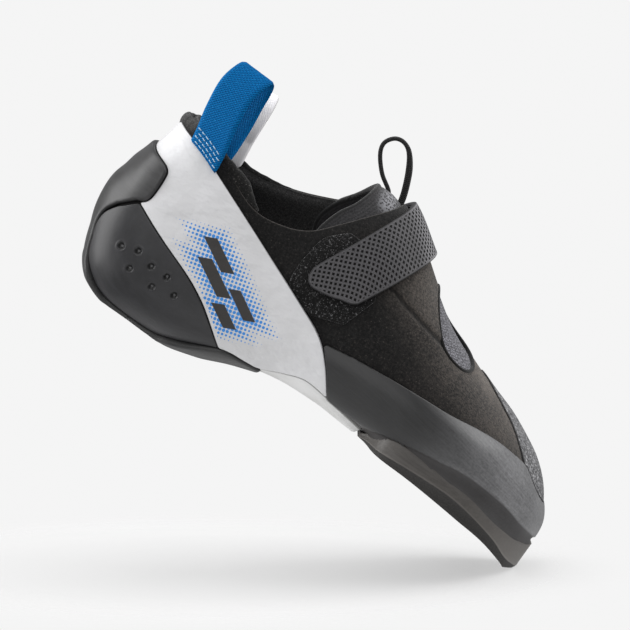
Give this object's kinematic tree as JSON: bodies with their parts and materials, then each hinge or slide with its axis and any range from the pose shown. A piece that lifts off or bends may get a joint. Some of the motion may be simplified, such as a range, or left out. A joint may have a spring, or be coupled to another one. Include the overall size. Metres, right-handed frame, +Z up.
{
  "type": "climbing shoe",
  "caption": "Downturned right climbing shoe: hollow suede upper, wrap-over strap, rubber rand, heel cup and front half-sole, pull loops at the heel and a cord loop on the tongue.",
  "frame": {"origin": "on the floor under the middle of the shoe's box", "axes": "+X along the shoe to the toe, -Y to the outer side of the foot, +Z up"},
  "size_m": [0.2502, 0.091, 0.131],
  "materials": {
    "suede": "matte suede nap",
    "lining": "soft knitted lining",
    "sole_rubber": "smooth satin",
    "rand_rubber": "satin, lightly scuffed",
    "white_synthetic": "smooth coated, printed",
    "speckled_rubber": "fine grey speckle",
    "knit": "fine stretch knit",
    "hook_and_loop": "napped loop",
    "strap_synthetic": "matte with raised dots",
    "blue_webbing": "twill webbing",
    "pale_webbing": "twill webbing",
    "cord": "braided"
  },
  "bodies": {
    "root": {"upper": "suede", "insole": "lining", "outsole": "sole_rubber", "rand": "rand_rubber", "heel_rubber": "sole_rubber", "heel_cup_outer": "rand_rubber", "heel_cup_inner": "rand_rubber", "heel_band": "white_synthetic", "arch_cover": "white_synthetic", "toe_patch": "speckled_rubber", "stretch_window": "knit", "tongue": "knit", "loop_patch": "hook_and_loop", "strap": "strap_synthetic", "pull_loop_outer": "blue_webbing", "pull_loop_inner": "pale_webbing", "cord_loop": "cord"}
  },
  "joints": []
}
